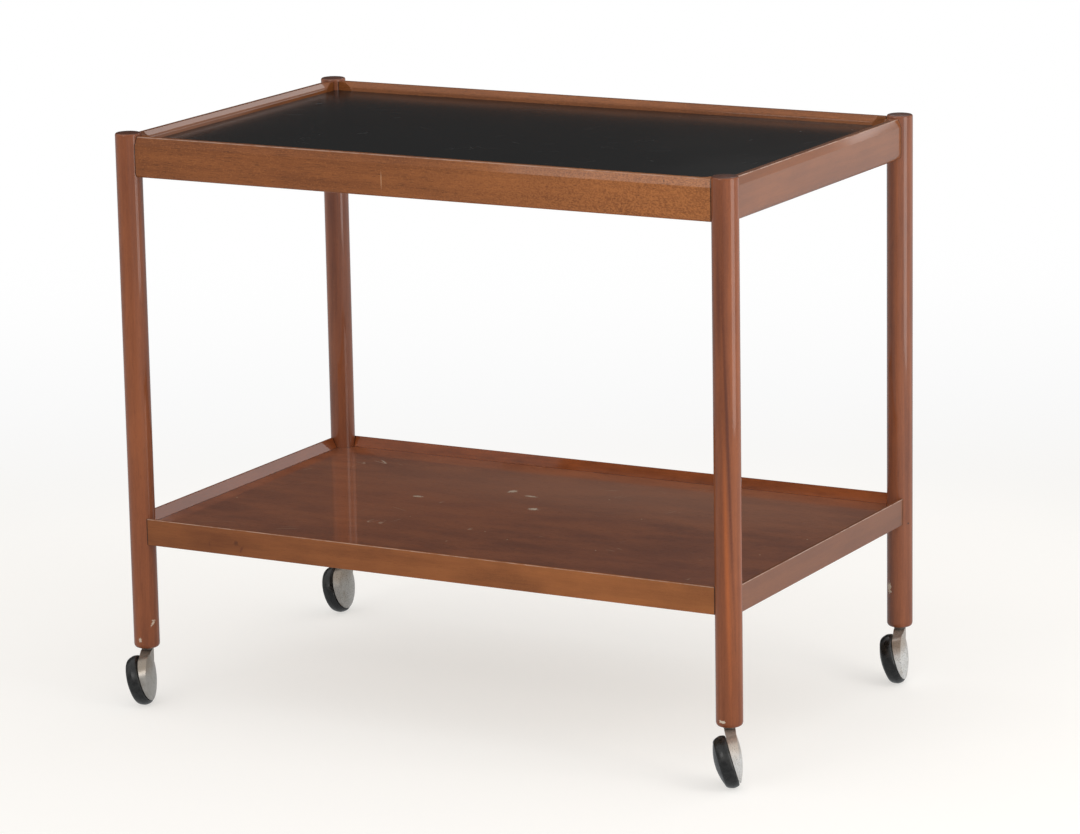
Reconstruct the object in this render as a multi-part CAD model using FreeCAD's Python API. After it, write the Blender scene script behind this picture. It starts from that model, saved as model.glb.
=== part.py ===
import FreeCAD, Part
import math
import os

os.makedirs("parts", exist_ok=True)

# Serving trolley: four turned legs, a framed tray with a black top, a framed shelf and four casters.
# Millimetres. X runs along the length, Y along the depth and Z up; the front faces -Y.
# The origin is on the floor, midway between the four legs.

# Overall frame
leg_spacing_x = 706.0
leg_spacing_y = 422.0
frame_height = 625.6
over = 20.0

# Legs
leg_diameter = 28.0
leg_top_round = 2.5
leg_top_crown = 0.8
leg_foot_round = 5.0

# Joints that are glued, and sheets that lie against a rail
seat_gap = 0.02
glue_gap = 0.05
sheet_gap = 0.15

# Tray rails: outer and inner faces are measured from the line between the leg axes
tray_rail_drop = 4.0
tray_rail_height = 43.6
tray_rail_outer = 7.2
tray_rail_inner = 8.0
tray_rail_crest_width = 3.0
tray_rail_crest_height = 8.5
tray_rail_arris = 0.8
tray_rail_heel_width = 4.5
tray_rail_heel_height = 6.0
tray_rail_land = 5.8
tray_depth = 9.5
tray_wall_height = 4.6
tray_wall_lean = 0.8
tray_wall_ease = 1.6
slope_nose_radius = 3.0
slope_stop = 6.0

# Tray top
tray_laminate_thickness = 1.0
tray_board_thickness = 8.0
tray_groove_depth = 5.0
groove_end_gap = 0.4

# Shelf rails
shelf_rail_foot = 176.0
shelf_rail_height = 29.0
shelf_rail_outer = 8.7
shelf_rail_inner = 8.0
shelf_rail_top_edge = 3.0
shelf_slope_base = 0.0
shelf_rail_arris = 0.7
shelf_depth = 10.5

# Shelf
shelf_veneer_thickness = 0.8
shelf_board_thickness = 5.2

# Dowels
tray_dowel_diameter = 6.0
tray_dowel_shares = (0.28, 0.78)
shelf_dowel_diameter = 8.0
shelf_dowel_shares = (0.52,)
dowel_in_rail = 22.0
dowel_meeting_gap = 1.0
dowel_end_gap = 0.4

# Caster wheel: s runs along the axle towards the hood, from the tyre's hood side
wheel_camber = 16.0
wheel_trail = 20.0
wheel_offset = 1.4
tyre_diameter = 54.9
tyre_width = 14.0
tyre_crown_share = 0.46
tyre_flat_share = 0.12
tyre_hood_drop = 2.4
tyre_outer_drop = 5.4
hub_diameter = 38.0
hub_hood_recess = 0.6
hub_cap_recess = 1.5
hub_well_diameter = 15.0
hub_well_depth = 3.0
wheel_dome_rise = 4.4
cap_wall = 1.4
axle_diameter = 6.0
axle_hold = 6.5
bush_wall = 1.5
bush_stand = 0.3
running_gap = 0.05
thrust_gap = 0.4
retainer_diameter = 11.0
retainer_thickness = 1.4
axle_tip = 0.8

# Caster hood and stem
hood_diameter = 48.5
hood_wall = 1.2
hood_rim_gap = 0.6
hood_face_offset = 11.6
hood_face_rise = 3.5
hood_face_lean = 3.5
hood_boss_diameter = 11.0
lug_diameter = 11.6
lug_depth = 20.0
lug_shoulder = 10.0
wheel_clearance = 4.6
stem_diameter = 8.0
stem_length = 36.0
stem_tip = 1.2
tenon_diameter = 5.0
tenon_length = 8.0
ring_groove_depth = 0.8
ring_height = 3.0
ring_from_tip = 6.0
ring_split = 1.5
socket_wall = 1.2
socket_flange_diameter = 12.4
socket_flange_height = 2.6
socket_tail = 4.0

# How each caster points at rest: degrees from +X to its hood side
caster_headings = {"front_left": 20.5, "front_right": 29.5, "back_left": 9.5, "back_right": 15.5}

# Sizes that follow
leg_radius = leg_diameter / 2
camber = math.radians(wheel_camber)
tyre_radius = tyre_diameter / 2
hub_radius = hub_diameter / 2
hood_radius = hood_diameter / 2
axle_radius = axle_diameter / 2
stem_radius = stem_diameter / 2
tenon_radius = tenon_diameter / 2
tyre_crown = tyre_width * tyre_crown_share
dome_rim = tyre_radius - tyre_outer_drop
wheel_height = tyre_crown * math.sin(camber) + tyre_radius * math.cos(camber)
leg_foot = wheel_height + tyre_radius * math.cos(camber) + wheel_clearance
lug_top = leg_foot - socket_flange_height - thrust_gap
tray_rail_top = frame_height - tray_rail_drop
tray_rail_foot = tray_rail_top - tray_rail_height
tray_surface = tray_rail_top - tray_depth
tray_board_top = tray_surface - tray_laminate_thickness
tray_board_foot = tray_board_top - tray_board_thickness
shelf_rail_top = shelf_rail_foot + shelf_rail_height
shelf_surface = shelf_rail_top - shelf_depth
shelf_board_top = shelf_surface - shelf_veneer_thickness
shelf_board_foot = shelf_board_top - shelf_board_thickness

up = FreeCAD.Vector(0, 0, 1)
origin = FreeCAD.Vector(0, 0, 0)
leg_places = {
    "front_left": (-leg_spacing_x / 2, -leg_spacing_y / 2),
    "front_right": (leg_spacing_x / 2, -leg_spacing_y / 2),
    "back_left": (-leg_spacing_x / 2, leg_spacing_y / 2),
    "back_right": (leg_spacing_x / 2, leg_spacing_y / 2),
}
# Each side's span between leg axes and its distance from the centre
sides = {
    "front": (leg_spacing_x, leg_spacing_y / 2),
    "right": (leg_spacing_y, leg_spacing_x / 2),
    "back": (leg_spacing_x, leg_spacing_y / 2),
    "left": (leg_spacing_y, leg_spacing_x / 2),
}
side_turns = {"front": 0, "right": 90, "back": 180, "left": 270}


def line(start, end):
    return Part.LineSegment(start, end).toShape()


def eased(start, corner, end):
    """A soft corner that leaves start and reaches end along the two sides that meet at the corner."""
    curve = Part.BezierCurve()
    curve.setPoles([start, corner, end])
    return curve.toShape()


def face_of(edges):
    return Part.Face(Part.Wire(edges))


def polygon(points):
    return Part.Face(Part.makePolygon(points + points[:1]))


def turned(profile):
    """A solid of revolution about Z from a face in the XZ plane."""
    return profile.revolve(origin, up, 360)


def tube(outer_radius, inner_radius, foot, top):
    """A ring about Z."""
    height = top - foot
    outer = Part.makeCylinder(outer_radius, height, FreeCAD.Vector(0, 0, foot))
    bore = Part.makeCylinder(inner_radius, height + 2 * over, FreeCAD.Vector(0, 0, foot - over))
    return outer.cut(bore)


def export(shape, name):
    shape.exportStep("parts/" + name + ".step")


def placed_side(shape, side):
    """A piece made for the front side, turned to the side it belongs to."""
    copy = shape.copy()
    copy.rotate(origin, up, side_turns[side])
    return copy


def leg_spaces(gap):
    """The room that the four legs take, with a gap round each."""
    radius = leg_radius + gap
    return [Part.makeCylinder(radius, frame_height, FreeCAD.Vector(x, y, 0)) for x, y in leg_places.values()]


def dowel_runs(diameter, heights, radius_gap, end_gap):
    """Cylinders for the dowels of all four sides, or for their holes when gaps are given."""
    radius = diameter / 2 + radius_gap
    in_leg = leg_radius - diameter / 2 - dowel_meeting_gap
    length = dowel_in_rail + in_leg + 2 * end_gap
    runs = []
    for side, (span, distance) in sides.items():
        inner_end = span / 2 - leg_radius - dowel_in_rail - end_gap
        for height in heights:
            for sign in (-1, 1):
                start = FreeCAD.Vector(sign * inner_end, -distance, height)
                run = Part.makeCylinder(radius, length, start, FreeCAD.Vector(sign, 0, 0))
                runs.append(placed_side(run, side))
    return runs


tray_dowel_heights = [
    tray_rail_foot + (tray_board_foot - tray_rail_foot) * share for share in tray_dowel_shares
]
shelf_dowel_heights = [
    shelf_rail_foot + (shelf_board_foot - shelf_rail_foot) * share for share in shelf_dowel_shares
]
tray_dowel_holes = dowel_runs(tray_dowel_diameter, tray_dowel_heights, glue_gap, dowel_end_gap)
shelf_dowel_holes = dowel_runs(shelf_dowel_diameter, shelf_dowel_heights, glue_gap, dowel_end_gap)


def leg(name):
    """A turned leg with a softly crowned top, a rounded foot, dowel holes and the caster's bore."""
    x, y = leg_places[name]
    rim = frame_height - leg_top_crown
    foot_flat = leg_radius - leg_foot_round
    foot_corner = FreeCAD.Vector(leg_radius, 0, leg_foot)
    top_corner = FreeCAD.Vector(leg_radius, 0, rim)
    p = [
        FreeCAD.Vector(0, 0, leg_foot),
        FreeCAD.Vector(foot_flat, 0, leg_foot),
        FreeCAD.Vector(leg_radius, 0, leg_foot + leg_foot_round),
        FreeCAD.Vector(leg_radius, 0, rim - leg_top_round),
        FreeCAD.Vector(leg_radius - leg_top_round, 0, rim),
        FreeCAD.Vector(0, 0, frame_height),
    ]
    edges = [
        line(p[0], p[1]),
        eased(p[1], foot_corner, p[2]),
        line(p[2], p[3]),
        eased(p[3], top_corner, p[4]),
        line(p[4], p[5]),
        line(p[5], p[0]),
    ]
    body = turned(face_of(edges))
    bore_radius = stem_radius + running_gap + socket_wall + seat_gap
    bore_depth = stem_length + socket_tail
    body = body.cut(Part.makeCylinder(bore_radius, bore_depth + over, FreeCAD.Vector(0, 0, leg_foot - over)))
    body.translate(FreeCAD.Vector(x, y, 0))
    return body.cut(tray_dowel_holes + shelf_dowel_holes)


def coped(rail, span, distance, top):
    """Scribes both ends of a front rail to the round legs."""
    ends = [
        Part.makeCylinder(leg_radius + seat_gap, top + over, FreeCAD.Vector(sign * span / 2, -distance, 0))
        for sign in (-1, 1)
    ]
    return rail.cut(ends)


def tray_rail(side):
    """A tall rail with an outer facet, a rounded heel, a groove for the board and a stopped moulding."""
    span, distance = sides[side]

    def at(w, z):
        return FreeCAD.Vector(-span / 2, -distance - w, z)

    outer, inner = tray_rail_outer, tray_rail_inner
    foot, top = tray_rail_foot, tray_rail_top
    facet_foot = at(outer, top - tray_rail_crest_height)
    facet_top = at(outer - tray_rail_crest_width, top)
    arris = (facet_top - facet_foot).normalize() * tray_rail_arris
    p = [
        at(-inner, foot),
        at(outer - tray_rail_heel_width, foot),
        at(outer, foot + tray_rail_heel_height),
        facet_foot,
        facet_top - arris,
        at(outer - tray_rail_crest_width - tray_rail_arris, top),
        at(-inner, top),
    ]
    edges = [
        line(p[0], p[1]),
        eased(p[1], at(outer, foot), p[2]),
        line(p[2], p[3]),
        line(p[3], p[4]),
        eased(p[4], facet_top, p[5]),
        line(p[5], p[6]),
        line(p[6], p[0]),
    ]
    rail = face_of(edges).extrude(FreeCAD.Vector(span, 0, 0))
    groove = [
        at(-inner - over, tray_board_foot),
        at(-inner + tray_groove_depth, tray_board_foot),
        at(-inner + tray_groove_depth, tray_board_top),
        at(-inner - over, tray_board_top),
    ]
    rail = rail.cut(polygon(groove).extrude(FreeCAD.Vector(span, 0, 0)))
    rail = rail.cut(slope_cutter(span, distance))
    rail = coped(rail, span, distance, top)
    rail = placed_side(rail, side)
    return rail.cut(tray_dowel_holes)


def slope_cutter(span, distance):
    """The path of a moulding cutter along the inner top edge, stopped short of the legs."""
    run = tray_rail_inner + tray_rail_outer - tray_rail_crest_width - tray_rail_land
    centre = -distance + tray_rail_inner + slope_nose_radius
    reach = span / 2 - leg_radius - slope_stop - slope_nose_radius - run
    corner_radius = slope_nose_radius + tray_wall_lean
    spread = (run - tray_wall_lean) / (tray_depth - tray_wall_height)
    wall_end = tray_wall_height - tray_wall_ease
    wall_end_radius = slope_nose_radius + tray_wall_lean * wall_end / tray_wall_height
    rise = tray_depth + over
    top_radius = corner_radius + spread * (rise - tray_wall_height)

    def section(at):
        p = [
            at(0, 0),
            at(slope_nose_radius, 0),
            at(wall_end_radius, wall_end),
            at(corner_radius + tray_wall_ease, tray_wall_height + tray_wall_ease / spread),
            at(top_radius, rise),
            at(0, rise),
        ]
        edges = [
            line(p[0], p[1]),
            line(p[1], p[2]),
            eased(p[2], at(corner_radius, tray_wall_height), p[3]),
            line(p[3], p[4]),
            line(p[4], p[5]),
            line(p[5], p[0]),
        ]
        return face_of(edges)

    def across(radius, height):
        return FreeCAD.Vector(-reach, centre - radius, tray_surface + height)

    def about_axis(radius, height):
        return FreeCAD.Vector(radius, 0, tray_surface + height)

    path = section(across).extrude(FreeCAD.Vector(2 * reach, 0, 0))
    cutter = turned(section(about_axis))
    ends = []
    for sign in (-1, 1):
        end = cutter.copy()
        end.translate(FreeCAD.Vector(sign * reach, centre, 0))
        ends.append(end)
    return path.fuse(ends)


def shelf_rail(side):
    """A low rail with a thin top edge, an inner slope down to the shelf and a ledge for the board."""
    span, distance = sides[side]

    def at(w, z):
        return FreeCAD.Vector(-span / 2, -distance - w, z)

    outer, arris = shelf_rail_outer, shelf_rail_arris
    foot, top = shelf_rail_foot, shelf_rail_top
    p = [
        at(-shelf_rail_inner, foot),
        at(outer - arris, foot),
        at(outer, foot + arris),
        at(outer, top - arris),
        at(outer - arris, top),
        at(outer - shelf_rail_top_edge, top),
        at(shelf_slope_base, shelf_surface),
        at(shelf_slope_base, shelf_board_foot),
        at(-shelf_rail_inner, shelf_board_foot),
    ]
    edges = [
        line(p[0], p[1]),
        eased(p[1], at(outer, foot), p[2]),
        line(p[2], p[3]),
        eased(p[3], at(outer, top), p[4]),
        line(p[4], p[5]),
        line(p[5], p[6]),
        line(p[6], p[7]),
        line(p[7], p[8]),
        line(p[8], p[0]),
    ]
    rail = face_of(edges).extrude(FreeCAD.Vector(span, 0, 0))
    rail = coped(rail, span, distance, top)
    rail = placed_side(rail, side)
    return rail.cut(shelf_dowel_holes)


def sheet(inset, foot, thickness, gap):
    """A flat sheet inside the frame, notched round the legs; inset is from the line between leg axes."""
    half_x = leg_spacing_x / 2 - inset
    half_y = leg_spacing_y / 2 - inset
    corner = FreeCAD.Vector(-half_x, -half_y, foot)
    board = Part.makeBox(2 * half_x, 2 * half_y, thickness, corner)
    return board.cut(leg_spaces(gap))


def wheel_frame(shape):
    """Stands a piece made about Z on the cambered axle, at the wheel's place behind the stem."""
    copy = shape.copy()
    copy.rotate(origin, FreeCAD.Vector(0, 1, 0), 90 - wheel_camber)
    copy.translate(FreeCAD.Vector(wheel_offset, -wheel_trail, wheel_height))
    return copy


def dome_at(r, inset):
    """A point at radius r on the dome over the wheel's outer side, or on one that lies inside it."""
    radius = (dome_rim ** 2 + wheel_dome_rise ** 2) / (2 * wheel_dome_rise)
    centre = radius - wheel_dome_rise - tyre_width
    return FreeCAD.Vector(r, 0, centre - math.sqrt((radius - inset) ** 2 - r ** 2))


def dome_arc(start, end, inset):
    return Part.Arc(dome_at(start, inset), dome_at((start + end) / 2, inset), dome_at(end, inset)).toShape()


def tread_at(s):
    """A point on the cone that lies flat on the floor."""
    return FreeCAD.Vector(tyre_radius + (s + tyre_crown) * math.tan(camber), 0, s)


def tyre():
    """A tyre with a crowned tread that lies flat on the floor, and a domed outer side."""
    hood_edge = FreeCAD.Vector(tyre_radius - tyre_hood_drop, 0, 0)
    crown = tread_at(-tyre_crown)
    flat = tread_at(-tyre_crown - tyre_width * tyre_flat_share)
    side = dome_arc(dome_rim, hub_radius, 0)
    seat = FreeCAD.Vector(hub_radius, 0, 0)
    edges = [
        line(seat, hood_edge),
        eased(hood_edge, FreeCAD.Vector(tyre_radius, 0, 0), crown),
        line(crown, flat),
        eased(flat, tread_at(-tyre_width), dome_at(dome_rim, 0)),
        side,
        line(dome_at(hub_radius, 0), seat),
    ]
    return turned(face_of(edges))


hub_face = -tyre_width + hub_cap_recess
well_floor = hub_face + hub_well_depth
bush_radius = axle_radius + running_gap + bush_wall
retainer_foot = well_floor - thrust_gap - retainer_thickness


def hub():
    """The wheel's disc, bored for its bush and sunk for the retainer."""
    disc = tube(hub_radius - seat_gap, bush_radius + seat_gap, hub_face, -hub_hood_recess)
    well = Part.makeCylinder(hub_well_diameter / 2, hub_well_depth + over, origin + up * (hub_face - over))
    return disc.cut(well)


def bush():
    return tube(bush_radius, axle_radius + running_gap, well_floor, bush_stand - hub_hood_recess)


def cap():
    """A domed cap that closes the wheel's outer side."""
    rim = hub_radius - seat_gap
    inner_rim = rim - cap_wall
    foot = FreeCAD.Vector(rim, 0, hub_face)
    inner_foot = FreeCAD.Vector(inner_rim, 0, hub_face)
    edges = [
        dome_arc(0, rim, 0),
        line(dome_at(rim, 0), foot),
        line(foot, inner_foot),
        line(inner_foot, dome_at(inner_rim, cap_wall)),
        dome_arc(inner_rim, 0, cap_wall),
        line(dome_at(0, cap_wall), dome_at(0, 0)),
    ]
    return turned(face_of(edges))


def axle():
    """A plain pin from the hood's boss through the wheel, with an eased outer end."""
    foot = retainer_foot - axle_tip
    pin = Part.makeCylinder(axle_radius, axle_hold - foot, origin + up * foot)
    return pin.makeChamfer(axle_tip / 2, [pin.Edges[2]])


def retainer():
    """A washer pressed on the axle that keeps the wheel on."""
    top = retainer_foot + retainer_thickness
    return tube(retainer_diameter / 2, axle_radius + seat_gap, retainer_foot, top)


def hood_form(inset, rim):
    """A drum about the axle, closed by a domed face that stands nearly upright; inset thins it all round."""
    drum = wheel_frame(Part.makeCylinder(hood_radius - inset, hood_diameter + over, origin + up * rim))
    radius = (hood_radius ** 2 + hood_face_rise ** 2) / (2 * hood_face_rise)
    lean = math.radians(hood_face_lean)
    crown = FreeCAD.Vector(hood_face_offset, -wheel_trail, wheel_height)
    centre = crown - FreeCAD.Vector(math.cos(lean), 0, math.sin(lean)) * radius
    return drum.common(Part.makeSphere(radius - inset, centre))


def touch_point(radius, point, side):
    """Where a line from a point beside the drum touches the drum, seen along X."""
    centre = FreeCAD.Vector(0, -wheel_trail, wheel_height)
    away = point - centre
    turn = math.atan2(away.z, away.y) + side * math.acos(radius / away.Length)
    return centre + FreeCAD.Vector(0, radius * math.cos(turn), radius * math.sin(turn))


def lug_web():
    """The web that carries the drum's wall up to the stem, as wide as the lug."""
    half = lug_diameter / 2
    radius = hood_radius * math.cos(camber) - hood_wall / 2
    front = FreeCAD.Vector(0, -half, lug_top)
    back = FreeCAD.Vector(0, half, lug_top)
    shoulder = back - up * lug_shoulder
    centre = FreeCAD.Vector(0, -wheel_trail, wheel_height)
    near_touch = touch_point(radius, front, 1)
    far_touch = touch_point(radius, shoulder, -1)
    outline = [near_touch, front, back, shoulder, far_touch, centre]
    web = polygon([corner - FreeCAD.Vector(half, 0, 0) for corner in outline])
    return web.extrude(FreeCAD.Vector(lug_diameter, 0, 0))


def hood():
    """The metal hood beside the wheel, with the axle's boss inside and the lug that holds the stem."""
    outer = hood_form(0, hood_rim_gap)
    cavity = hood_form(hood_wall, hood_rim_gap - over)
    boss_end = thrust_gap + bush_stand - hub_hood_recess
    boss = Part.makeCylinder(hood_boss_diameter / 2, hood_diameter + over, origin + up * boss_end)
    boss = wheel_frame(boss).common(hood_form(0, boss_end))
    size = 4 * hood_diameter
    corner = FreeCAD.Vector(-size / 2, -size / 2, hood_rim_gap)
    beside = wheel_frame(Part.makeBox(size, size, size, corner))
    lug = Part.makeCylinder(lug_diameter / 2, lug_depth, origin + up * (lug_top - lug_depth))
    lug = lug.common(beside)
    web = lug_web().common(beside).cut(outer)
    shell = outer.cut(cavity).fuse([boss, lug, web]).removeSplitter()
    tenon_foot = origin + up * (lug_top - tenon_length)
    tenon_hole = Part.makeCylinder(tenon_radius + seat_gap, tenon_length + over, tenon_foot)
    axle_hole = wheel_frame(Part.makeCylinder(axle_radius + seat_gap, axle_hold + over, origin - up * over))
    return shell.cut([tenon_hole, axle_hole])


stem_top = leg_foot + stem_length
ring_top = stem_top - ring_from_tip
ring_foot = ring_top - ring_height
ring_bore = stem_radius - ring_groove_depth


def stem():
    """The upright pin that turns in the leg, with a tenon in the lug and a groove for its grip ring."""
    tenon = Part.makeCylinder(tenon_radius, tenon_length, origin + up * (lug_top - tenon_length))
    pin = Part.makeCylinder(stem_radius, stem_top - stem_tip - lug_top, origin + up * lug_top)
    tip = Part.makeCone(stem_radius, stem_radius - stem_tip, stem_tip, origin + up * (stem_top - stem_tip))
    groove = tube(stem_radius + over, ring_bore, ring_foot - seat_gap, ring_top + seat_gap)
    return pin.fuse([tenon, tip]).removeSplitter().cut(groove)


def grip_ring():
    """A split spring ring in the stem's groove."""
    ring = tube(stem_radius + running_gap / 2, ring_bore + seat_gap, ring_foot, ring_top)
    corner = FreeCAD.Vector(0, -ring_split / 2, ring_foot)
    split = Part.makeBox(stem_diameter, ring_split, ring_height, corner)
    return ring.cut(split)


def socket():
    """The flanged sleeve that is pressed into the leg."""
    bore = stem_radius + running_gap
    sleeve = tube(bore + socket_wall, bore, leg_foot, leg_foot + stem_length + socket_tail - seat_gap)
    flange = tube(socket_flange_diameter / 2, bore, leg_foot - socket_flange_height, leg_foot)
    return sleeve.fuse(flange).removeSplitter()


for name in leg_places:
    export(leg(name), "leg_" + name)
for side in sides:
    export(tray_rail(side), "tray_rail_" + side)
    export(shelf_rail(side), "shelf_rail_" + side)
tray_dowels = dowel_runs(tray_dowel_diameter, tray_dowel_heights, 0, 0)
shelf_dowels = dowel_runs(shelf_dowel_diameter, shelf_dowel_heights, 0, 0)
export(Part.makeCompound(tray_dowels), "tray_rail_dowels")
export(Part.makeCompound(shelf_dowels), "shelf_rail_dowels")
board_inset = tray_rail_inner - tray_groove_depth + groove_end_gap
export(sheet(board_inset, tray_board_foot, tray_board_thickness, glue_gap), "tray_board")
laminate_inset = tray_rail_inner + sheet_gap
export(sheet(laminate_inset, tray_board_top, tray_laminate_thickness, sheet_gap), "tray_laminate")
shelf_inset = sheet_gap - shelf_slope_base
export(sheet(shelf_inset, shelf_board_foot, shelf_board_thickness, sheet_gap), "shelf_board")
export(sheet(shelf_inset, shelf_board_top, shelf_veneer_thickness, sheet_gap), "shelf_veneer")

caster_pieces = {
    "socket": socket(),
    "stem": stem(),
    "grip_ring": grip_ring(),
    "hood": hood(),
    "axle": wheel_frame(axle()),
    "retainer": wheel_frame(retainer()),
    "hub": wheel_frame(hub()),
    "bush": wheel_frame(bush()),
    "tyre": wheel_frame(tyre()),
    "cap": wheel_frame(cap()),
}
for name, (x, y) in leg_places.items():
    for piece, shape in caster_pieces.items():
        copy = shape.copy()
        copy.rotate(origin, up, caster_headings[name])
        copy.translate(FreeCAD.Vector(x, y, 0))
        export(copy, "caster_" + name + "_" + piece)
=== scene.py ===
import math

import bmesh
import bpy
from mathutils import Matrix, Vector


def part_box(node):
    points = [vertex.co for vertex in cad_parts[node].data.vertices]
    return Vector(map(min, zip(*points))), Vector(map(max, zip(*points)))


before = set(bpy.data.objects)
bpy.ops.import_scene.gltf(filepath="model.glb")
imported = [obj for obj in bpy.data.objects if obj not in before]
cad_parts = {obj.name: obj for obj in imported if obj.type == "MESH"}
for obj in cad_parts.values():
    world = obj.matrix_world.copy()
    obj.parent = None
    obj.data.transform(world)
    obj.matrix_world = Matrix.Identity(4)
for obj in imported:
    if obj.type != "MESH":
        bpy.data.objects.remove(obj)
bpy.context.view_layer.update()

# Metres throughout. The frame's own places are read from the CAD boxes.
leg_low, leg_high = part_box("leg_front_right")
leg_radius = (leg_high.x - leg_low.x) / 2
leg_x = (leg_high.x + leg_low.x) / 2
leg_y = -(leg_high.y + leg_low.y) / 2
leg_top = leg_high.z
tray_rail_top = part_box("tray_rail_front")[1].z
shelf_rail_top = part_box("shelf_rail_front")[1].z
shelf_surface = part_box("shelf_veneer")[1].z
joint_width = 0.0012

# The photograph's camera
image_width = 1080
focal_pixels = 4559.45
sensor_width_mm = 36.0
camera_place = Vector((2.32857, -4.20214, 1.3889))
camera_azimuth = math.radians(28.7421)
camera_elevation = math.radians(12.729)
camera_roll = math.radians(-1.0237)

# Repeats of the noise per metre, along the grain and across it
band_stretch = (2.2, 75.0, 75.0)
fibre_stretch = (30.0, 750.0, 750.0)
mottle_stretch = (11.0, 30.0, 30.0)
pore_stretch = (110.0, 1300.0, 1300.0)
fleck_stretch = (480.0, 800.0, 800.0)

# Colours of dirt and wear, with painted shade and a painted highlight among them
white = (1, 1, 1, 1)
# dirt along the shelf's edges, and painted shade in the rail-to-leg joints
dirt_and_shade = (0.02, 0.008, 0.005, 1)
pore_brown = (0.02, 0.007, 0.004, 1)
# end grain on the leg tops, darkened further as a painted dark reflection
end_grain_and_painted_shade = (0.05, 0.016, 0.01, 1)
# a painted highlight along the rails' upper outer edges
painted_edge_glint = (0.6, 0.42, 0.33, 1)
bared = (0.72, 0.6, 0.46, 1)
scratched = (0.62, 0.36, 0.2, 1)
dark_spot = (0.03, 0.01, 0.005, 1)
knot = (0.12, 0.03, 0.012, 1)
knot_edge = (0.1, 0.03, 0.012, 1)
dark_streak = (0.09, 0.02, 0.01, 1)
orange_streak = (0.55, 0.14, 0.03, 1)

vector_socket, colour_socket, number_socket = "NodeSocketVector", "NodeSocketColor", "NodeSocketFloat"


def grey(value):
    return (value, value, value, 1)


def fill(tree, node, inputs):
    """Fills a node's inputs with values or with other nodes' outputs."""
    for key, value in inputs.items():
        if isinstance(value, bpy.types.NodeSocket):
            tree.links.new(value, node.inputs[key])
        else:
            node.inputs[key].default_value = value


def shader_node(tree, kind, inputs=None, **settings):
    """Adds a node, sets its options and fills its inputs."""
    made = tree.nodes.new(kind)
    for key, value in settings.items():
        setattr(made, key, value)
    fill(tree, made, inputs or {})
    return made


def math_node(tree, operation, first, second=0.0, clamp=False):
    inputs = {0: first, 1: second}
    return shader_node(tree, "ShaderNodeMath", inputs, operation=operation, use_clamp=clamp).outputs[0]


def vector_math(tree, operation, first, second=(0, 0, 0)):
    made = shader_node(tree, "ShaderNodeVectorMath", {0: first, 1: second}, operation=operation)
    return made.outputs["Value" if operation in ("LENGTH", "DOT_PRODUCT") else "Vector"]


def split_vector(tree, vector):
    """A vector's X, Y and Z by name."""
    return shader_node(tree, "ShaderNodeSeparateXYZ", {0: vector}).outputs


def ramp(tree, value, low, high, to_low=0.0, to_high=1.0):
    """Maps a stretch of values onto another, smoothly."""
    inputs = {"Value": value, "From Min": low, "From Max": high, "To Min": to_low, "To Max": to_high}
    return shader_node(tree, "ShaderNodeMapRange", inputs, interpolation_type="SMOOTHSTEP").outputs["Result"]


def blend_colours(tree, factor, first, second):
    return shader_node(tree, "ShaderNodeMix", {0: factor, 6: first, 7: second}, data_type="RGBA").outputs[2]


def lay_over(tree, colour, top, mask, strength=1.0):
    """Lays a colour over another through a mask."""
    return blend_colours(tree, math_node(tree, "MULTIPLY", mask, strength), colour, top)


def stretched_noise(tree, vector, stretch, detail=3.0, roughness=0.55):
    """Noise that is finer across the grain than along it."""
    inputs = {"Vector": vector_math(tree, "MULTIPLY", vector, stretch),
              "Scale": 1.0, "Detail": detail, "Roughness": roughness}
    return shader_node(tree, "ShaderNodeTexNoise", inputs).outputs["Fac"]


def even_noise(tree, vector, scale, detail=3.0, roughness=0.55):
    return stretched_noise(tree, vector, (scale, scale, scale), detail, roughness)


def bump(tree, shader, height, strength, distance):
    made = shader_node(tree, "ShaderNodeBump", {"Height": height, "Strength": strength, "Distance": distance})
    tree.links.new(made.outputs["Normal"], shader.inputs["Normal"])


def new_group(name, inputs, outputs):
    """An empty shader group with named sockets; returns the tree, its input node and its output node."""
    tree = bpy.data.node_groups.new(name, "ShaderNodeTree")
    for way, sockets in (("INPUT", inputs), ("OUTPUT", outputs)):
        for socket, kind in sockets.items():
            tree.interface.new_socket(socket, in_out=way, socket_type=kind)
    return tree, tree.nodes.new("NodeGroupInput"), tree.nodes.new("NodeGroupOutput")


def place_group(tree, group, inputs):
    return shader_node(tree, "ShaderNodeGroup", inputs, node_tree=group).outputs


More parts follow.
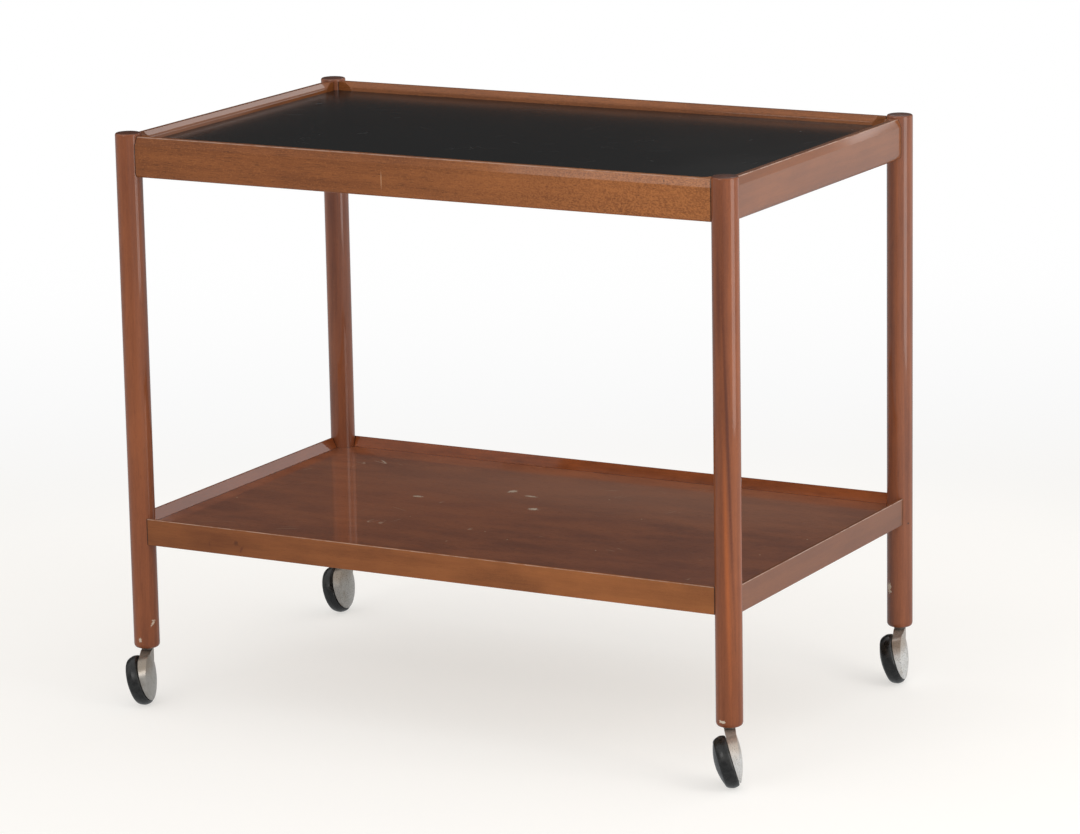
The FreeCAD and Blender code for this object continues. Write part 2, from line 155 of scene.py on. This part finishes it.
def wood_grain_group():
    """Grain along local X: broad bands, fine fibres, a cloudy mottle, pale flecks and short dark pores."""
    inputs = {"Vector": vector_socket, "Dark": colour_socket, "Light": colour_socket, "Fleck": colour_socket,
              "Bands": number_socket, "Fibres": number_socket, "Cloud": number_socket, "Flecks": number_socket,
              "Pores": number_socket, "Gloss": number_socket}
    outputs = {"Color": colour_socket, "Roughness": number_socket, "Height": number_socket}
    tree, group_input, result = new_group("wood_grain", inputs, outputs)
    given = group_input.outputs
    vector = given["Vector"]
    bend = shader_node(tree, "ShaderNodeTexNoise", {"Vector": vector, "Scale": 4.0, "Detail": 1.0}).outputs["Color"]
    bend = vector_math(tree, "SUBTRACT", bend, (0.5, 0.5, 0.5))
    bend = vector_math(tree, "MULTIPLY", bend, (0.012, 0.012, 0.012))
    grain = vector_math(tree, "ADD", vector, bend)
    bands = stretched_noise(tree, grain, band_stretch, 5.0, 0.6)
    fibres = stretched_noise(tree, grain, fibre_stretch)
    mottle = stretched_noise(tree, vector, mottle_stretch)
    pores = ramp(tree, stretched_noise(tree, grain, pore_stretch, 1.0), 0.56, 0.7)
    flecks = ramp(tree, stretched_noise(tree, grain, fleck_stretch, 2.0), 0.5, 0.72)
    parts = ((bands, 0.28, 0.72, "Bands"), (fibres, 0.2, 0.8, "Fibres"), (mottle, 0.3, 0.7, "Cloud"))
    swings = [math_node(tree, "MULTIPLY", ramp(tree, noise, low, high, -0.5, 0.5), given[strength])
              for noise, low, high, strength in parts]
    tone = math_node(tree, "ADD", math_node(tree, "ADD", swings[0], swings[1]), swings[2])
    tone = math_node(tree, "ADD", tone, 0.5, True)
    colour = blend_colours(tree, tone, given["Dark"], given["Light"])
    colour = lay_over(tree, colour, given["Fleck"], flecks, given["Flecks"])
    pores = math_node(tree, "MULTIPLY", pores, given["Pores"])
    colour = blend_colours(tree, pores, colour, pore_brown)
    rough = math_node(tree, "ADD", given["Gloss"], math_node(tree, "MULTIPLY", fibres, 0.1))
    rough = math_node(tree, "ADD", rough, math_node(tree, "MULTIPLY", pores, 0.2))
    height = math_node(tree, "SUBTRACT", math_node(tree, "MULTIPLY", fibres, 0.25), pores)
    fill(tree, result, {"Color": colour, "Roughness": rough, "Height": height})
    return tree


def joint_shade_group():
    """A mask along the legs, where shade is painted into the joint."""
    inputs = {"Vector": vector_socket, "Width": number_socket}
    tree, given, result = new_group("joint_shade_mask", inputs, {"Mask": number_socket})
    place = split_vector(tree, given.outputs["Vector"])
    x = math_node(tree, "SUBTRACT", math_node(tree, "ABSOLUTE", place["X"]), leg_x)
    y = math_node(tree, "SUBTRACT", math_node(tree, "ABSOLUTE", place["Y"]), leg_y)
    square = math_node(tree, "ADD", math_node(tree, "MULTIPLY", x, x), math_node(tree, "MULTIPLY", y, y))
    gap = math_node(tree, "SUBTRACT", math_node(tree, "SQRT", square), leg_radius)
    near = math_node(tree, "DIVIDE", gap, given.outputs["Width"])
    fill(tree, result, {"Mask": ramp(tree, near, 0.25, 1.0, 1.0, 0.0)})
    return tree


def scratch_group():
    """Hairline scratches in three directions and a few specks, as masks."""
    inputs = {"Vector": vector_socket, "Density": number_socket}
    outputs = {"Scratches": number_socket, "Specks": number_socket}
    tree, group_input, result = new_group("scratches", inputs, outputs)
    vector, density = group_input.outputs["Vector"], group_input.outputs["Density"]
    masks = []
    for turn, scale in ((0.5, 9.0), (1.9, 14.0), (2.7, 7.0)):
        turned = shader_node(tree, "ShaderNodeMapping", {"Vector": vector, "Rotation": (0, 0, turn)}).outputs[0]
        wave = stretched_noise(tree, turned, (scale * 0.35, scale * 5.0, scale), 1.0)
        line = math_node(tree, "ABSOLUTE", math_node(tree, "SUBTRACT", wave, 0.5))
        line = ramp(tree, line, 0.0, 0.006, 1.0, 0.0)
        patch = ramp(tree, stretched_noise(tree, turned, (scale * 2, scale * 2, scale), 2.0), 0.64, 0.72)
        masks.append(math_node(tree, "MULTIPLY", line, patch))
    lines = math_node(tree, "MAXIMUM", math_node(tree, "MAXIMUM", masks[0], masks[1]), masks[2])
    cells = shader_node(tree, "ShaderNodeTexVoronoi", {"Vector": vector, "Scale": 55.0, "Randomness": 1.0}).outputs
    lot = shader_node(tree, "ShaderNodeSeparateColor", {0: cells["Color"]}).outputs[0]
    speck = ramp(tree, cells["Distance"], 0.02, 0.07, 1.0, 0.0)
    speck = math_node(tree, "MULTIPLY", speck, math_node(tree, "GREATER_THAN", lot, 0.88))
    fill(tree, result, {"Scratches": math_node(tree, "MULTIPLY", lines, density),
                        "Specks": math_node(tree, "MULTIPLY", speck, density)})
    return tree


def small_mark_group():
    """One small mark: a mask around the middle of its own coordinates, with a more or less ragged edge."""
    inputs = {"Vector": vector_socket, "Own": vector_socket, "Ragged": number_socket, "Core": number_socket}
    tree, group_input, result = new_group("small_mark", inputs, {"Mask": number_socket})
    given = group_input.outputs
    distance = vector_math(tree, "LENGTH", given["Own"])
    uneven = math_node(tree, "SUBTRACT", even_noise(tree, given["Vector"], 650.0, 3.0, 0.65), 0.5)
    distance = math_node(tree, "ADD", distance, math_node(tree, "MULTIPLY", uneven, given["Ragged"]))
    fill(tree, result, {"Mask": ramp(tree, distance, given["Core"], 1.0, 1.0, 0.0)})
    return tree


def edge_glint_group():
    """A mask along a rail's upper outer edge, broken up by noise, where a highlight is painted."""
    inputs = {"Vector": vector_socket, "Out": number_socket, "Up": number_socket}
    tree, group_input, result = new_group("edge_glint_mask", inputs, {"Mask": number_socket})
    given = group_input.outputs
    near_edge = ramp(tree, given["Out"], -0.0009, -0.0002)
    near_top = ramp(tree, given["Up"], -0.0011, -0.0004)
    broken = ramp(tree, even_noise(tree, given["Vector"], 60.0, 4.0, 0.6), 0.35, 0.6, 0.35, 1.0)
    mask = math_node(tree, "MULTIPLY", math_node(tree, "MULTIPLY", near_edge, near_top), broken)
    fill(tree, result, {"Mask": mask})
    return tree


wood_grain = wood_grain_group()
joint_shade_mask = joint_shade_group()
scratches = scratch_group()
small_mark = small_mark_group()
edge_glint_mask = edge_glint_group()


def new_material(name):
    """A material with its tree, its Principled shader and the object coordinates."""
    material = bpy.data.materials.new(name)
    material.use_nodes = True
    tree = material.node_tree
    vector = shader_node(tree, "ShaderNodeTexCoord").outputs["Object"]
    return material, tree, tree.nodes["Principled BSDF"], vector


def figure(bands, fibres, cloud, flecks, pores):
    """How strongly each part of the grain shows."""
    return {"Bands": bands, "Fibres": fibres, "Cloud": cloud, "Flecks": flecks, "Pores": pores}


def add_marks(tree, vector, colour, marks):
    """Lays marks over a colour: each is a centre, half sizes, turn, colour, strength, raggedness and core."""
    for centre, half_sizes, turn, mark_colour, strength, ragged, core in marks:
        inputs = {"Vector": vector, "Location": centre, "Rotation": turn, "Scale": half_sizes}
        own = shader_node(tree, "ShaderNodeMapping", inputs, vector_type="TEXTURE").outputs[0]
        mark = place_group(tree, small_mark, {"Vector": vector, "Own": own, "Ragged": ragged, "Core": core})
        colour = lay_over(tree, colour, mark_colour, mark["Mask"], strength)
    return colour


def lacquered_wood(name, turn, tones, grain_figure, coat, marks=(), joint=joint_width, fade=None,
                   arris=None, top_darkening=0.0, haze=0.1, border=0.0, scuffs=0.0):
    """Lacquered hardwood; turn brings the grain's run onto local X, and haze dulls the wood under the coat."""
    material, tree, shader, vector = new_material(name)
    dark, light, fleck = tones
    along = shader_node(tree, "ShaderNodeMapping", {"Vector": vector, "Rotation": turn}).outputs[0]
    grain = place_group(tree, wood_grain, {"Vector": along, "Dark": dark, "Light": light, "Fleck": fleck,
                                           "Gloss": 0.4, **grain_figure})
    colour = grain["Color"]
    place = split_vector(tree, vector)
    if fade:
        darker_left, lighter_right, spotty = fade
        colour = blend_colours(tree, ramp(tree, place["X"], -leg_x, leg_x, darker_left, 0.0), colour, dark)
        spots = stretched_noise(tree, along, fleck_stretch, 2.0)
        spots = ramp(tree, spots, 0.36, 0.64, 1.0 - spotty, 1.0 + spotty)
        colour = lay_over(tree, colour, fleck, spots, ramp(tree, place["X"], -0.1, leg_x, 0.0, lighter_right))
    # The leg tops darkened: end grain, together with a painted dark reflection
    if top_darkening:
        darker_top = ramp(tree, place["Z"], leg_top - 0.0018, leg_top - 0.0008, 0.0, top_darkening)
        colour = blend_colours(tree, darker_top, colour, end_grain_and_painted_shade)
    colour = add_marks(tree, vector, colour, marks)
    if scuffs:
        wear = place_group(tree, scratches, {"Vector": vector, "Density": scuffs})
        colour = lay_over(tree, colour, bared, wear["Scratches"], 0.8)
        colour = lay_over(tree, colour, bared, wear["Specks"])
    # A painted highlight along the rail's upper outer edge
    if arris:
        axis, edge, top = arris
        out = math_node(tree, "SUBTRACT", math_node(tree, "ABSOLUTE", place[axis]), edge)
        up = math_node(tree, "SUBTRACT", place["Z"], top)
        glint = place_group(tree, edge_glint_mask, {"Vector": vector, "Out": out, "Up": up})
        colour = lay_over(tree, colour, painted_edge_glint, glint["Mask"], 0.6)
    if border:
        for axis, edge in (("X", leg_x), ("Y", leg_y)):
            reach = math_node(tree, "ABSOLUTE", place[axis])
            colour = lay_over(tree, colour, dirt_and_shade, ramp(tree, reach, edge - border, edge - border * 0.4), 0.85)
    # Painted shade in the joints where the rails meet the legs
    if joint:
        painted_joint_shade = place_group(tree, joint_shade_mask, {"Vector": vector, "Width": joint})
        colour = lay_over(tree, colour, dirt_and_shade, painted_joint_shade["Mask"])
    fill(tree, shader, {"Base Color": colour, "Roughness": grain["Roughness"], "Specular IOR Level": haze,
                        "Coat Weight": coat, "Coat Roughness": 0.06})
    bump(tree, shader, grain["Height"], 0.15, 0.0003)
    return material


def black_laminate():
    """Smooth black laminate with hairline scratches and pale specks."""
    material, tree, shader, vector = new_material("black_laminate")
    wear = place_group(tree, scratches, {"Vector": vector, "Density": 1.0})
    cloud = even_noise(tree, vector, 7.0, 4.0)
    colour = blend_colours(tree, cloud, grey(0.0075), grey(0.01))
    colour = lay_over(tree, colour, grey(0.12), wear["Scratches"], 0.35)
    colour = lay_over(tree, colour, grey(0.12), wear["Specks"], 0.5)
    rough = ramp(tree, cloud, 0.3, 0.7, 0.17, 0.23)
    rough = math_node(tree, "ADD", rough, math_node(tree, "MULTIPLY", wear["Scratches"], 0.2))
    fill(tree, shader, {"Base Color": colour, "Roughness": rough, "Specular IOR Level": 0.2})
    return material


def plating(name, clean, tarnished, stained):
    """Plating gone dull under a thin film of dirt, tarnished in patches and stained brown towards the stem."""
    material, tree, shader, vector = new_material(name)
    stain_from, stain_to = 0.034, 0.047
    cloud = even_noise(tree, vector, 120.0, 5.0, 0.6)
    fine = even_noise(tree, vector, 900.0)
    colour = blend_colours(tree, ramp(tree, cloud, 0.45, 0.75), clean, tarnished)
    stain = ramp(tree, split_vector(tree, vector)["Z"], stain_from, stain_to, 0.0, 0.85)
    colour = blend_colours(tree, stain, colour, stained)
    rough = ramp(tree, fine, 0.3, 0.8, 0.26, 0.38)
    fill(tree, shader, {"Base Color": colour, "Roughness": rough, "Metallic": 0.6})
    return material


def dull_steel():
    """Bare steel gone grey and brown."""
    material, tree, shader, vector = new_material("dull_steel")
    cloud = even_noise(tree, vector, 400.0, 4.0)
    colour = blend_colours(tree, cloud, (0.1, 0.08, 0.065, 1), (0.26, 0.23, 0.2, 1))
    rough = ramp(tree, cloud, 0.3, 0.7, 0.35, 0.5)
    fill(tree, shader, {"Base Color": colour, "Roughness": rough, "Metallic": 1.0})
    return material


def worn_black(name):
    """Black rubber or plastic, paler where it is rubbed."""
    material, tree, shader, vector = new_material(name)
    cloud = even_noise(tree, vector, 160.0, 5.0, 0.65)
    rubbed = (0.022, 0.022, 0.02112, 1)
    colour = blend_colours(tree, ramp(tree, cloud, 0.35, 0.75), grey(0.004), rubbed)
    rough = ramp(tree, cloud, 0.3, 0.7, 0.22, 0.42)
    fill(tree, shader, {"Base Color": colour, "Roughness": rough, "Specular IOR Level": 0.5})
    bump(tree, shader, cloud, 0.15, 0.0002)
    return material


def raw_wood(name, dark, light):
    """Unfinished wood for the boards' undersides and the dowels."""
    material, tree, shader, vector = new_material(name)
    grain = place_group(tree, wood_grain, {"Vector": vector, "Dark": dark, "Light": light, "Fleck": light,
                                           "Gloss": 0.6, **figure(0.5, 0.4, 0.2, 0.2, 0.3)})
    fill(tree, shader, {"Base Color": grain["Color"], "Roughness": grain["Roughness"]})
    bump(tree, shader, grain["Height"], 0.3, 0.0003)
    return material


def moulded_nylon():
    """Off-white nylon of the bushes."""
    material, tree, shader, vector = new_material("moulded_nylon")
    cloud = even_noise(tree, vector, 300.0)
    colour = blend_colours(tree, cloud, (0.6, 0.57, 0.48, 1), (0.74, 0.72, 0.64, 1))
    fill(tree, shader, {"Base Color": colour, "Roughness": 0.45})
    return material


# Tones of the wood: dark, light and fleck
rail_tones = ((0.17, 0.05, 0.0135, 1), (0.35, 0.115, 0.031, 1), (0.5, 0.18, 0.05, 1))
red_rail_tones = ((0.17, 0.042, 0.012, 1), (0.38, 0.1, 0.026, 1), (0.48, 0.14, 0.036, 1))
side_rail_tones = ((0.15, 0.044, 0.013, 1), (0.31, 0.1, 0.028, 1), (0.42, 0.15, 0.044, 1))
# a darker copy of the side rails' tones, as painted shade on the shelf's right rail
shaded_rail_tones = ((0.13, 0.038, 0.012, 1), (0.26, 0.085, 0.026, 1), (0.36, 0.13, 0.04, 1))
leg_tones = ((0.155, 0.04, 0.0145, 1), (0.355, 0.105, 0.034, 1), (0.45, 0.139, 0.045, 1))
shelf_tones = ((0.192, 0.052, 0.0172, 1), (0.317, 0.0955, 0.032, 1), (0.38, 0.122, 0.043, 1))

tray_figure = figure(0.5, 0.3, 0.3, 0.35, 0.35)
plain_figure = figure(0.5, 0.25, 0.75, 0.12, 0.15)
side_figure = figure(0.3, 0.12, 0.25, 0.06, 0.08)
leg_figure = figure(0.6, 0.12, 0.25, 0.08, 0.12)
shelf_figure = figure(0.22, 0.3, 1.0, 0.3, 0.35)

# Turns that bring the grain's run onto local X
no_turn = (0, 0, 0)
from_y = (0, 0, math.pi / 2)
from_z = (0, math.pi / 2, 0)

# The front right leg's streaks, then bared wood at the feet, and a dark spot
streak_heading = 0.502
leg_marks = [
    ((0.353, -0.211, 0.35), (0.0026, 0.04, 0.27), (0, -0.029, streak_heading), dark_streak, 0.75, 0.5, 0.2),
    ((0.346, -0.215, 0.5), (0.0032, 0.04, 0.09), (0, -0.01, streak_heading), dark_streak, 0.6, 0.5, 0.1),
    ((0.3515, -0.212, 0.22), (0.0038, 0.04, 0.2), (0, -0.02, streak_heading), orange_streak, 0.6, 0.4, 0.1),
    ((-0.3405, -0.2174, 0.088), (0.0009, 0.004, 0.0052), (0, 0.35, 0), bared, 0.8, 1.8, 0.5),
    ((-0.3398, -0.2165, 0.091), (0.0024, 0.004, 0.0008), (0, 0.2, 0), bared, 0.7, 1.8, 0.5),
    ((-0.3525, -0.225, 0.0697), (0.002, 0.004, 0.0026), no_turn, bared, 0.9, 3.0, 0.6),
    ((0.3513, -0.2249, 0.0661), (0.0042, 0.004, 0.0018), no_turn, bared, 1.0, 2.6, 0.6),
    ((0.3459, 0.1989, 0.1044), (0.0032, 0.004, 0.0068), no_turn, bared, 0.8, 3.4, 0.6),
    ((0.3657, 0.2052, 0.177), (0.0014, 0.002, 0.0014), no_turn, dark_spot, 0.8, 1.0, 0.4)]

# A scratch and a spot on the tray's front rail
tray_rail_marks = [
    ((-0.038, -0.2182, 0.5957), (0.0007, 0.004, 0.011), no_turn, scratched, 0.6, 1.2, 0.5),
    ((0.2881, -0.216, 0.6165), (0.0013, 0.004, 0.0016), no_turn, dark_spot, 0.7, 1.0, 0.4)]

# A knot on the shelf's front rail
shelf_rail_marks = [
    ((-0.2285, -0.2197, 0.19), (0.004, 0.004, 0.0035), no_turn, dark_spot, 0.5, 1.4, 0.2),
    ((-0.222, -0.2197, 0.184), (0.002, 0.004, 0.006), (0, 0.5, 0), knot, 0.6, 1.4, 0.2),
    ((-0.262, -0.2197, 0.186), (0.0012, 0.004, 0.004), no_turn, knot_edge, 0.4, 1.4, 0.2)]

# The shelf's lighter left as painted reflection, darker right front, and lighter back as painted reflection, then
# four scuffs
shelf_marks = [
    ((-0.16, 0.0, shelf_surface), (0.3, 0.24, 0.02), no_turn, (0.4, 0.125, 0.044, 1), 0.4, 0.0, 0.0),
    ((0.28, -0.16, shelf_surface), (0.3, 0.2, 0.02), no_turn, (0.16, 0.042, 0.018, 1), 0.45, 0.0, 0.0),
    ((0.06, 0.13, shelf_surface), (0.48, 0.15, 0.02), no_turn, (0.42, 0.185, 0.1, 1), 0.5, 0.3, 0.0),
    ((-0.1475, 0.0287, shelf_surface), (0.007, 0.0035, 0.004), no_turn, bared, 1.0, 3.0, 0.5),
    ((-0.0629, 0.0925, shelf_surface), (0.005, 0.007, 0.004), no_turn, bared, 1.0, 3.0, 0.5),
    ((-0.0335, 0.0804, shelf_surface), (0.008, 0.003, 0.004), no_turn, bared, 0.9, 3.0, 0.5),
    ((-0.002, 0.0296, shelf_surface), (0.007, 0.005, 0.004), no_turn, bared, 1.0, 3.0, 0.5)]

# A rail's upper edge, where a highlight is painted: the axis across it, how far out it lies, and its height
tray_arris_reach = 0.0042
shelf_arris_reach = 0.0087
tray_long_arris = ("Y", leg_y + tray_arris_reach, tray_rail_top)
tray_short_arris = ("X", leg_x + tray_arris_reach, tray_rail_top)
shelf_long_arris = ("Y", leg_y + shelf_arris_reach, shelf_rail_top)
shelf_short_arris = ("X", leg_x + shelf_arris_reach, shelf_rail_top)

# The front rails' fade: darker on the left, lighter on the right, and how spotty the lighter wood is
tray_rail_front = lacquered_wood("tray_rail_front", no_turn, rail_tones, tray_figure, 0.5, tray_rail_marks,
                                 fade=(0.1, 0.45, 0.8), arris=tray_long_arris)
tray_rail_back = lacquered_wood("tray_rail_back", no_turn, rail_tones, tray_figure, 0.6, arris=tray_long_arris)
tray_rail_side = lacquered_wood("tray_rail_side", from_y, side_rail_tones, side_figure, 1.0,
                                arris=tray_short_arris)
tray_rail_left = lacquered_wood("tray_rail_left", from_y, side_rail_tones, side_figure, 0.75,
                                arris=tray_short_arris)
shelf_rail_front = lacquered_wood("shelf_rail_front", no_turn, rail_tones, plain_figure, 0.5, shelf_rail_marks,
                                  fade=(0.45, 0.3, 0.1), arris=shelf_long_arris)
shelf_rail_back = lacquered_wood("shelf_rail_back", no_turn, red_rail_tones, plain_figure, 0.6,
                                 arris=shelf_long_arris)
shelf_rail_side = lacquered_wood("shelf_rail_side", from_y, shaded_rail_tones, side_figure, 1.0,
                                 arris=shelf_short_arris)
shelf_rail_left = lacquered_wood("shelf_rail_left", from_y, red_rail_tones, side_figure, 0.7,
                                 arris=shelf_short_arris)
front_leg_wood = lacquered_wood("leg_wood", from_z, leg_tones, leg_figure, 0.75, leg_marks, joint=0.0, top_darkening=0.7)
back_leg_wood = lacquered_wood("back_leg_wood", from_z, leg_tones, leg_figure, 0.75, leg_marks, joint=0.0,
                               top_darkening=0.7, haze=0.3)
shelf_veneer = lacquered_wood("shelf_veneer", no_turn, shelf_tones, shelf_figure, 1.0, shelf_marks, haze=0.5,
                              border=0.002, scuffs=1.0)
# The left casters' hoods get a darker copy as painted shade, the right casters' a lighter copy as painted reflection
# of the bright floor
plating_painted_darker = plating("plating_painted_darker", (0.45, 0.425, 0.39, 1), (0.34, 0.305, 0.26, 1), (0.34, 0.28, 0.22, 1))
plating_painted_lighter = plating("plating_painted_lighter", (0.88, 0.86, 0.83, 1), (0.66, 0.61, 0.54, 1), (0.52, 0.43, 0.35, 1))
steel = dull_steel()
moulded_black = worn_black("moulded_black")

# Finishes by the end of a CAD node's name
finishes = {
    "leg_front_left": front_leg_wood, "leg_front_right": front_leg_wood,
    "leg_back_left": back_leg_wood, "leg_back_right": back_leg_wood,
    "tray_rail_front": tray_rail_front, "tray_rail_right": tray_rail_side,
    "tray_rail_back": tray_rail_back, "tray_rail_left": tray_rail_left,
    "shelf_rail_front": shelf_rail_front, "shelf_rail_right": shelf_rail_side,
    "shelf_rail_back": shelf_rail_back, "shelf_rail_left": shelf_rail_left,
    "laminate": black_laminate(), "veneer": shelf_veneer,
    "board": raw_wood("raw_board", (0.25, 0.15, 0.08, 1), (0.45, 0.3, 0.18, 1)),
    "dowels": raw_wood("raw_beech", (0.42, 0.27, 0.15, 1), (0.6, 0.43, 0.27, 1)),
    "left_hood": plating_painted_darker, "right_hood": plating_painted_lighter,
    "socket": steel, "stem": steel, "grip_ring": steel, "axle": steel, "retainer": steel,
    "tyre": worn_black("worn_rubber"), "hub": moulded_black, "cap": moulded_black, "bush": moulded_nylon()}

for name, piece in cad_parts.items():
    finish = next(made for ending, made in finishes.items() if name.endswith(ending))
    piece.data.materials.clear()
    piece.data.materials.append(finish)


def pale_floor():
    """Warm white near the trolley and white further off, keeping part of the shadows; polish mirrors it dimmer."""
    material, tree, shader, vector = new_material("pale_floor")
    fill(tree, shader, {"Base Color": (0.9, 0.885, 0.86, 1), "Roughness": 0.8, "Specular IOR Level": 0.1})
    lit_level = 0.65
    near_level, far_level = 0.93, 1.0
    heading = (-math.sin(camera_azimuth), math.cos(camera_azimuth), 0)
    away = vector_math(tree, "DOT_PRODUCT", vector, heading)
    far = ramp(tree, away, 0.3, 3.0)
    tint = blend_colours(tree, ramp(tree, away, 0.4, 1.6), (1, 0.98, 0.945, 1), white)
    clear = math_node(tree, "MAXIMUM", ramp(tree, vector_math(tree, "LENGTH", vector), 0.75, 1.3), far)
    share = ramp(tree, clear, 0.0, 1.0, 0.5, 1.0)
    # The glow makes up what the lamps leave short of the level wanted
    lit = math_node(tree, "MULTIPLY", math_node(tree, "SUBTRACT", 1.0, share), lit_level)
    glow = math_node(tree, "SUBTRACT", ramp(tree, far, 0.0, 1.0, near_level, far_level), lit)
    glow = math_node(tree, "DIVIDE", glow, share)
    seen = shader_node(tree, "ShaderNodeEmission", {"Color": tint, "Strength": glow}).outputs[0]
    path = shader_node(tree, "ShaderNodeLightPath").outputs
    share = math_node(tree, "MULTIPLY", path["Is Camera Ray"], share)
    surface = shader_node(tree, "ShaderNodeMixShader", {0: share, 1: shader.outputs[0], 2: seen}).outputs[0]
    level = ramp(tree, split_vector(tree, vector)["X"], 0.4, 1.4, 0.54, 0.84)
    inputs = {"Color": (0.95, 0.98, 1, 1), "Strength": level}
    reflection = shader_node(tree, "ShaderNodeEmission", inputs).outputs[0]
    mirrored = math_node(tree, "ADD", path["Is Glossy Ray"], path["Is Transmission Ray"], True)
    surface = shader_node(tree, "ShaderNodeMixShader", {0: mirrored, 1: surface, 2: reflection}).outputs[0]
    tree.links.new(surface, tree.nodes["Material Output"].inputs["Surface"])
    return material


def floor():
    mesh = bpy.data.meshes.new("floor")
    shape = bmesh.new()
    bmesh.ops.create_grid(shape, x_segments=1, y_segments=1, size=40.0)
    shape.to_mesh(mesh)
    shape.free()
    mesh.materials.append(pale_floor())
    piece = bpy.data.objects.new("floor", mesh)
    bpy.context.scene.collection.objects.link(piece)


# Soft boxes: name, place, what they point at, width and height, watts, colour
soft_boxes = (
    ("key", (1.75, -0.22, 0.86), (0, -0.22, 0.76), (0.82, 1.65), 11.5, (1, 0.98, 0.95)),
    ("fill", (-0.6, -2.8, 1.85), (0, 0, 0.4), (1.6, 1.0), 12.5, (1, 0.98, 0.96)),
    ("rear_high", (-0.22, 1.3, 1.46), (-0.35, 0, 0.62), (0.5, 0.34), 1.1, (1, 1, 1)),
    ("rear_low", (1.17, 2.6, 1.18), (0, 0, 0.2), (0.7, 0.45), 1.6, (1, 1, 1)))


def soft_box(name, place, target, size, watts, colour):
    data = bpy.data.lights.new(name, "AREA")
    data.shape = "RECTANGLE"
    data.size, data.size_y = size
    data.energy = watts
    data.color = colour
    lamp = bpy.data.objects.new(name, data)
    bpy.context.scene.collection.objects.link(lamp)
    lamp.location = place
    lamp.visible_camera = False
    lamp.rotation_euler = (Vector(target) - Vector(place)).to_track_quat("-Z", "Y").to_euler()


def room():
    """White to the eye; what lights the trolley is bright above and dim low at the back left."""
    world = bpy.data.worlds.new("room")
    world.use_nodes = True
    bpy.context.scene.world = world
    tree = world.node_tree
    direction = shader_node(tree, "ShaderNodeTexCoord").outputs["Generated"]
    place = split_vector(tree, direction)
    dim = ramp(tree, vector_math(tree, "DOT_PRODUCT", direction, (-0.54, 0.84, 0)), 0.45, 0.8)
    low = blend_colours(tree, ramp(tree, place["Y"], -0.2, 0.6), grey(0.5), grey(0.65))
    low = blend_colours(tree, dim, low, grey(0.05))
    lifted = math_node(tree, "SUBTRACT", place["Z"], ramp(tree, place["Y"], 0.1, 0.6, 0.0, 0.3))
    colour = blend_colours(tree, ramp(tree, lifted, 0.26, 0.6), low, grey(0.85))
    path = shader_node(tree, "ShaderNodeLightPath").outputs
    direct = math_node(tree, "ADD", path["Is Camera Ray"], path["Is Transmission Ray"], True)
    colour = blend_colours(tree, direct, colour, white)
    tree.links.new(colour, tree.nodes["Background"].inputs["Color"])


def camera():
    az, el, roll = camera_azimuth, camera_elevation, camera_roll
    back = Vector((math.sin(az) * math.cos(el), -math.cos(az) * math.cos(el), math.sin(el)))
    level = Vector((math.cos(az), math.sin(az), 0))
    upright = back.cross(level)
    right = level * math.cos(roll) + upright * math.sin(roll)
    up = upright * math.cos(roll) - level * math.sin(roll)
    data = bpy.data.cameras.new("camera")
    data.sensor_fit = "HORIZONTAL"
    data.sensor_width = sensor_width_mm
    data.lens = focal_pixels / image_width * sensor_width_mm
    data.clip_end = 200.0
    made = bpy.data.objects.new("camera", data)
    bpy.context.scene.collection.objects.link(made)
    made.matrix_world = Matrix.Translation(camera_place) @ Matrix((right, up, back)).transposed().to_4x4()
    bpy.context.scene.camera = made


floor()
for box in soft_boxes:
    soft_box(*box)
room()
camera()
bpy.context.scene.view_settings.view_transform = "Standard"
